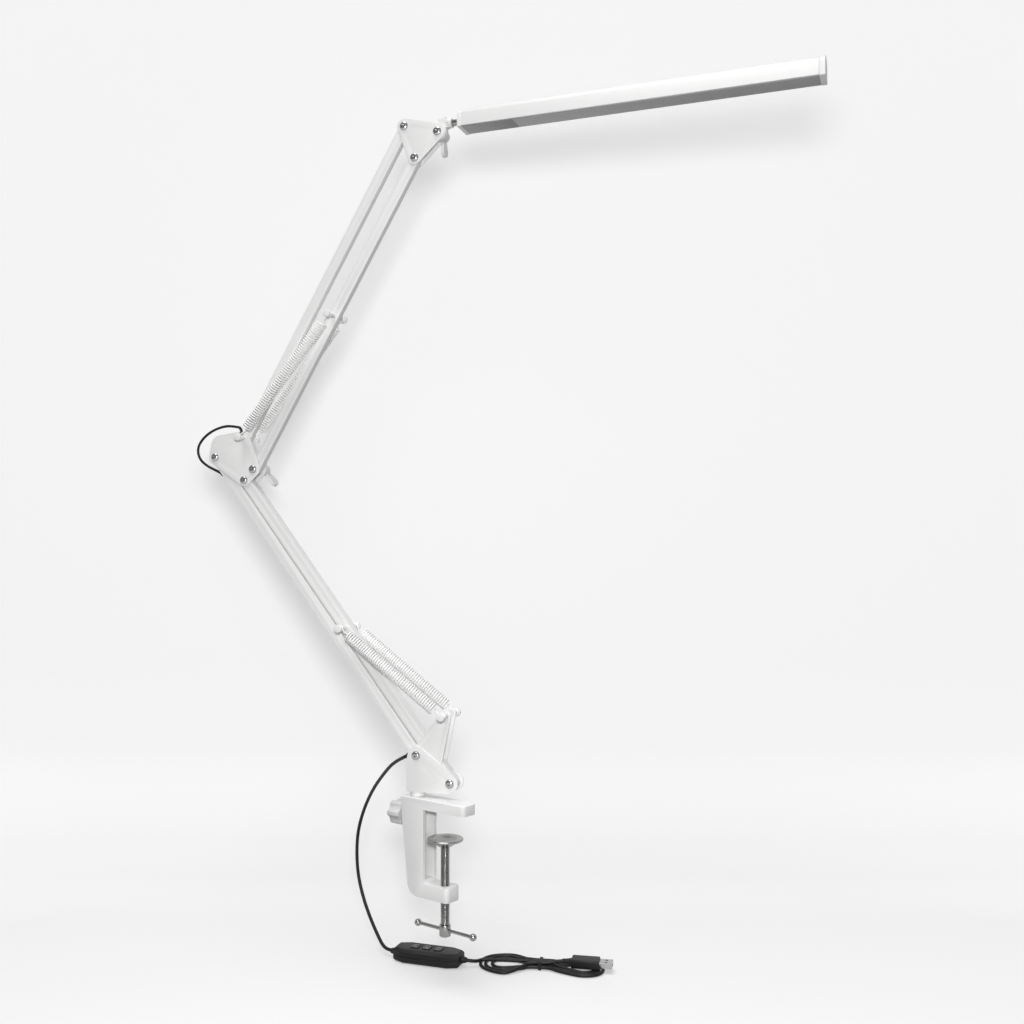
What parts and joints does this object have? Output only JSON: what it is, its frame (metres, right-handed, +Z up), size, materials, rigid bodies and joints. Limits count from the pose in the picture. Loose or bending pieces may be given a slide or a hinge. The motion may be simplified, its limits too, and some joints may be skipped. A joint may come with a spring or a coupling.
{
  "type": "swing arm desk lamp",
  "caption": "Clamp-on desk lamp with two sprung parallelogram arms, a long slim light bar that tilts and rolls, and a USB cord with an in-line controller.",
  "frame": {"origin": "underside of the clamp's top jaw, on the clamp screw's axis", "axes": "+Z up, +X along the jaw towards its tip, +Y away from the viewer"},
  "size_m": [0.5732, 0.2052, 0.7837],
  "materials": {
    "white_paint": "satin",
    "white_plastic": "satin",
    "spring_white": "gloss",
    "bright_steel": "polished",
    "grey_steel": "satin",
    "diffuser_grey": "matt",
    "black_plastic": "satin",
    "black_rubber": "satin",
    "circuit": "gloss",
    "chip": "gloss"
  },
  "bodies": {
    "clamp": {"clamp_frame": "white_paint"},
    "lock": {"lock_knob": "white_plastic", "lock_screw": "bright_steel"},
    "pad": {"pressure_pad": "grey_steel"},
    "screw": {"clamp_screw": "grey_steel"},
    "handle": {"tommy_bar": "grey_steel"},
    "base": {"base_bracket": "white_paint", "base_post": "white_paint", "spring_ears": "white_paint", "ear_studs": "spring_white", "base_bolts": "bright_steel", "base_nuts": "bright_steel", "base_washers": "white_plastic", "cord_grommet": "black_rubber", "supply_cord": "black_rubber", "controller_bottom": "black_plastic", "controller_top": "black_plastic", "controller_reliefs": "black_rubber", "controller_board": "circuit", "link_cord": "black_rubber", "cord_hank": "black_rubber", "hank_tie": "black_rubber", "plug_body": "black_plastic", "plug_shell": "bright_steel", "plug_tongue": "black_plastic"},
    "mode_button": {"button_mode": "black_plastic"},
    "dim_button": {"button_dim": "black_plastic"},
    "power_button": {"button_power": "black_plastic"},
    "lower_arm_a": {"lower_bar_a": "white_paint", "bar_cable_grommet": "black_rubber"},
    "lower_arm_b": {"lower_bar_b": "white_paint", "lower_spring_pin": "spring_white"},
    "lower_spring_pair": {"lower_springs": "spring_white"},
    "elbow": {"elbow_plates": "white_paint", "elbow_bolts": "bright_steel", "elbow_nuts": "bright_steel", "elbow_spring_pin": "spring_white", "elbow_spacers": "white_plastic", "elbow_cable_relief": "black_rubber", "elbow_cable": "black_rubber"},
    "elbow_wing": {"elbow_wing_nut": "white_plastic"},
    "upper_arm_d": {"upper_bar_d": "white_paint", "upper_spring_pin": "spring_white"},
    "upper_arm_c": {"upper_bar_c": "white_paint"},
    "upper_spring_pair": {"upper_springs": "spring_white"},
    "upper_spring_ends": {"upper_spring_hooks": "spring_white"},
    "head_fork": {"head_plates": "white_paint", "head_bolts": "bright_steel", "head_nuts": "bright_steel"},
    "head_wing": {"head_wing_nut": "white_plastic"},
    "head_knuckle": {"head_hub": "white_paint", "head_stub": "grey_steel"},
    "lamp_head": {"head_housing": "white_paint", "head_end_inner": "white_paint", "head_end_outer": "white_paint", "driver_cover": "diffuser_grey", "light_diffuser": "diffuser_grey", "led_board": "circuit", "led_chips": "chip", "driver_board": "circuit"}
  },
  "joints": [
    {"name": "lock_turn", "type": "hinge", "parent": "clamp", "child": "lock", "pos_m": [-0.0535, 0, -0.008], "axis": [-1, 0, 0], "range_deg": [-540, 0]},
    {"name": "screw_turn", "type": "hinge", "parent": "pad", "child": "screw", "pos_m": [0, 0, -0.06], "axis": [0, 0, 1], "range_deg": [-9520, 5910]},
    {"name": "pad_travel", "type": "slide", "parent": "clamp", "child": "pad", "axis": [0, 0, 1], "range_m": [-0.033, 0.0205]},
    {"name": "handle_slide", "type": "slide", "parent": "screw", "child": "handle", "axis": [1, 0, 0], "range_m": [-0.022, 0.022]},
    {"name": "swivel", "type": "hinge", "parent": "clamp", "child": "base", "pos_m": [-0.0322, 0, 0], "axis": [0, 0, 1], "range_deg": [-180, 180]},
    {"name": "lower_arm", "type": "hinge", "parent": "base", "child": "lower_arm_a", "pos_m": [-0.03124, 0.0003, 0.0463], "axis": [-0.2974, 0.9548, 0], "range_deg": [0, 68.8]},
    {"name": "lower_parallel", "type": "hinge", "parent": "base", "child": "lower_arm_b", "pos_m": [0.00007, 0.01005, 0.0234], "axis": [-0.2974, 0.9548, 0], "range_deg": [0, 68.8]},
    {"name": "lower_spring_turn", "type": "hinge", "parent": "lower_arm_b", "child": "lower_spring_pair", "pos_m": [-0.101, -0.02143, 0.15769], "axis": [-0.2974, 0.9548, 0], "range_deg": [-1, 32], "deforming": ["lower_springs"]},
    {"name": "elbow_level", "type": "hinge", "parent": "lower_arm_a", "child": "elbow", "pos_m": [-0.23635, -0.06359, 0.31881], "axis": [-0.2974, 0.9548, 0], "range_deg": [-68.8, 0], "deforming": ["elbow_cable"]},
    {"name": "elbow_nut_turn", "type": "hinge", "parent": "elbow", "child": "elbow_wing", "pos_m": [-0.19578, -0.05095, 0.3063], "axis": [-0.2974, 0.9548, 0], "range_deg": [-180, 0]},
    {"name": "upper_arm", "type": "hinge", "parent": "elbow", "child": "upper_arm_d", "pos_m": [-0.19578, -0.05095, 0.3063], "axis": [-0.2974, 0.9548, 0], "range_deg": [-15, 40]},
    {"name": "upper_parallel", "type": "hinge", "parent": "elbow", "child": "upper_arm_c", "pos_m": [-0.20589, -0.0541, 0.3366], "axis": [-0.2974, 0.9548, 0], "range_deg": [-15, 40]},
    {"name": "upper_spring_turn", "type": "hinge", "parent": "elbow", "child": "upper_spring_pair", "pos_m": [-0.20589, -0.0541, 0.3366], "axis": [-0.2974, 0.9548, 0], "range_deg": [-17, 43.5], "deforming": ["upper_springs"]},
    {"name": "upper_spring_stretch", "type": "slide", "parent": "upper_spring_pair", "child": "upper_spring_ends", "axis": [0.6212, 0.1935, 0.7594], "range_m": [-0.009, 0.022], "deforming": ["upper_spring_hooks"]},
    {"name": "head_level", "type": "hinge", "parent": "upper_arm_d", "child": "head_fork", "pos_m": [-0.03544, -0.00101, 0.58689], "axis": [-0.2974, 0.9548, 0], "range_deg": [-40, 15]},
    {"name": "head_nut_turn", "type": "hinge", "parent": "head_fork", "child": "head_wing", "pos_m": [-0.01387, 0.00571, 0.60819], "axis": [-0.2974, 0.9548, 0], "range_deg": [-180, 0]},
    {"name": "head_tilt", "type": "hinge", "parent": "head_fork", "child": "head_knuckle", "pos_m": [-0.01387, 0.00571, 0.60819], "axis": [-0.2974, 0.9548, 0], "range_deg": [-60, 80]},
    {"name": "head_roll", "type": "hinge", "parent": "head_knuckle", "child": "lamp_head", "pos_m": [0.00122, 0.01041, 0.6153], "axis": [0.9548, 0.2974, 0], "range_deg": [-90, 90]},
    {"name": "mode_press", "type": "slide", "parent": "base", "child": "mode_button", "axis": [0, 0, -1], "range_m": [0, 0.0006], "stiffness_N_per_m": 800, "springref_m": -0.0004},
    {"name": "dim_press", "type": "slide", "parent": "base", "child": "dim_button", "axis": [0, 0, -1], "range_m": [0, 0.0006], "stiffness_N_per_m": 800, "springref_m": -0.0004},
    {"name": "power_press", "type": "slide", "parent": "base", "child": "power_button", "axis": [0, 0, -1], "range_m": [0, 0.0006], "stiffness_N_per_m": 800, "springref_m": -0.0004}
  ],
  "couplings": [
    {"joint": "lower_parallel", "follows": "lower_arm", "ratio": 1},
    {"joint": "lower_spring_turn", "follows": "lower_arm", "ratio": 0.4486},
    {"joint": "elbow_level", "follows": "lower_arm", "ratio": -1},
    {"joint": "upper_parallel", "follows": "upper_arm", "ratio": 1},
    {"joint": "upper_spring_turn", "follows": "upper_arm", "ratio": 1.065},
    {"joint": "upper_spring_stretch", "follows": "upper_arm", "m_per_rad": 0.0288},
    {"joint": "head_level", "follows": "upper_arm", "ratio": -1},
    {"joint": "screw_turn", "follows": "pad_travel", "rad_per_m": 5026.5}
  ]
}
